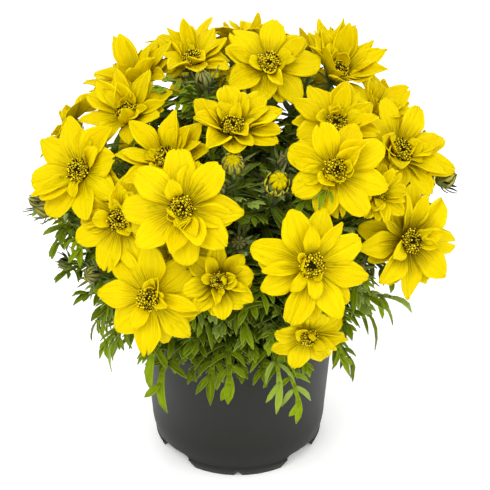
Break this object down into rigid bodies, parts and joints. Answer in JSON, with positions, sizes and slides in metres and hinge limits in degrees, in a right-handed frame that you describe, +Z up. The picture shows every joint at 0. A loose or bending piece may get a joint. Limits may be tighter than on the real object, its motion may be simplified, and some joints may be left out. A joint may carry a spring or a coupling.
{
  "type": "potted bidens",
  "caption": "Bushy potted bidens with semi-double golden yellow blooms, buds and finely cut leaves in a plain round black grow pot.",
  "frame": {"origin": "on the ground under the middle of the pot", "axes": "+Z up, -Y towards the front of the plant, which carries the fullest blooms, +X to its right"},
  "size_m": [0.238, 0.2355, 0.2587],
  "materials": {
    "pot": "moulded matte black polypropylene with a fine stipple",
    "soil": "dark crumbly potting soil",
    "foliage": "soft green stems and cut leaves with a faint waxy sheen",
    "petals": "satin lemon to golden yellow petals with fine lengthwise furrows",
    "eye": "golden disc florets with dark brown anthers"
  },
  "bodies": {
    "root": {"pot": "pot", "soil": "soil", "leafy_stem_01": "foliage", "leafy_stem_02": "foliage", "leafy_stem_03": "foliage", "leafy_stem_04": "foliage", "leafy_stem_05": "foliage", "leafy_stem_06": "foliage", "leafy_stem_07": "foliage", "leafy_stem_08": "foliage", "leafy_stem_09": "foliage", "leafy_stem_10": "foliage", "leafy_stem_11": "foliage", "leafy_stem_12": "foliage", "leafy_stem_13": "foliage", "leafy_stem_14": "foliage", "leafy_stem_15": "foliage", "leafy_stem_16": "foliage", "leafy_stem_17": "foliage", "leafy_stem_18": "foliage", "bloom_01": "petals", "bloom_02": "petals", "bloom_03": "petals", "bloom_04": "petals", "bloom_05": "petals", "bloom_06": "petals", "bloom_07": "petals", "bloom_08": "petals", "bloom_09": "petals", "bloom_10": "petals", "bloom_11": "petals", "bloom_12": "petals", "bloom_13": "petals", "bloom_14": "petals", "bloom_15": "petals", "bloom_16": "petals", "bloom_17": "petals", "bloom_18": "petals", "bloom_19": "petals", "bloom_20": "petals", "bloom_21": "petals", "bloom_22": "petals", "bloom_23": "petals", "bloom_24": "petals", "bloom_25": "petals", "bloom_26": "petals", "bloom_27": "petals", "bloom_28": "petals", "bloom_29": "petals", "bloom_30": "petals", "bloom_31": "petals", "bloom_32": "petals", "bloom_33": "petals", "bloom_34": "petals", "bloom_35": "petals", "bloom_36": "petals", "bloom_37": "petals"}
  },
  "joints": []
}
